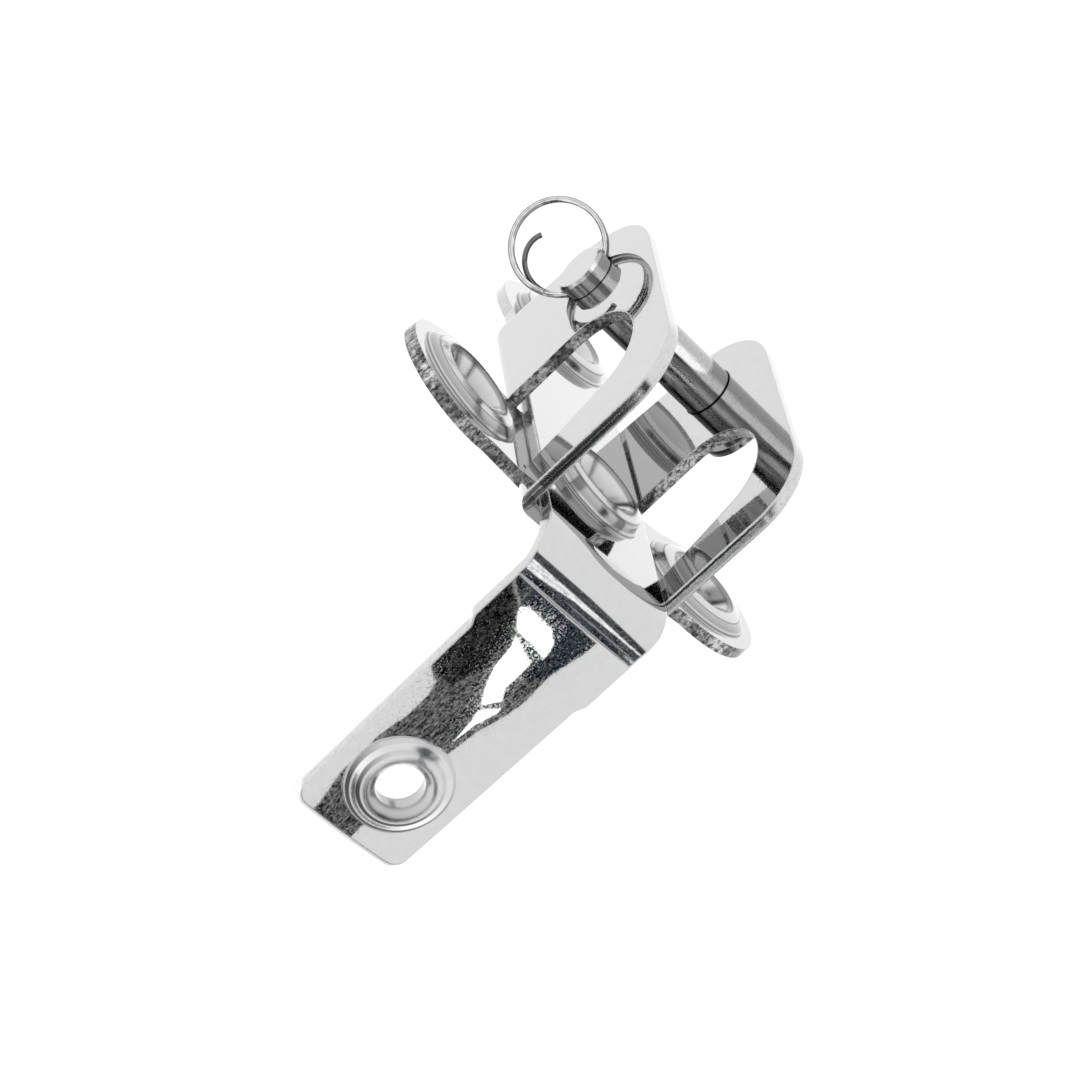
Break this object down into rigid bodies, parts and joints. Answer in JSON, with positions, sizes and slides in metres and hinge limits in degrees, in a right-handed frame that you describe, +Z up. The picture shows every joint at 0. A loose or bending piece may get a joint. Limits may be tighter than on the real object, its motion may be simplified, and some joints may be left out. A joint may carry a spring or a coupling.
{
  "type": "bow plate",
  "caption": "Boat bow fitting of bent sheet: upright cheeks with windows and a clevis pin, screw ears, deck strap and hanging stem.",
  "frame": {"origin": "axis of the middle screw hole, at the underside of the web that rests on the deck", "axes": "+X forward over the bow, +Y to port (pin head side), +Z up from the deck"},
  "size_m": [0.0713, 0.0544, 0.0595],
  "materials": {
    "polished_sheet": "mirror polished",
    "turned_pin": "turned",
    "ring_wire": "bright drawn"
  },
  "bodies": {
    "fitting": {"bracket": "polished_sheet", "deck_strap": "polished_sheet"},
    "pin": {"clevis_pin": "turned_pin"},
    "ring": {"split_ring": "ring_wire"}
  },
  "joints": [
    {"name": "pin_turn", "type": "hinge", "parent": "fitting", "child": "pin", "pos_m": [-0.0189, 0, 0.0153], "axis": [0, 1, 0], "continuous": true},
    {"name": "ring_swing", "type": "hinge", "parent": "pin", "child": "ring", "pos_m": [-0.0189, -0.01115, 0.0153], "axis": [-0.1857, 0, 0.9826], "range_deg": [-2, 60]}
  ]
}
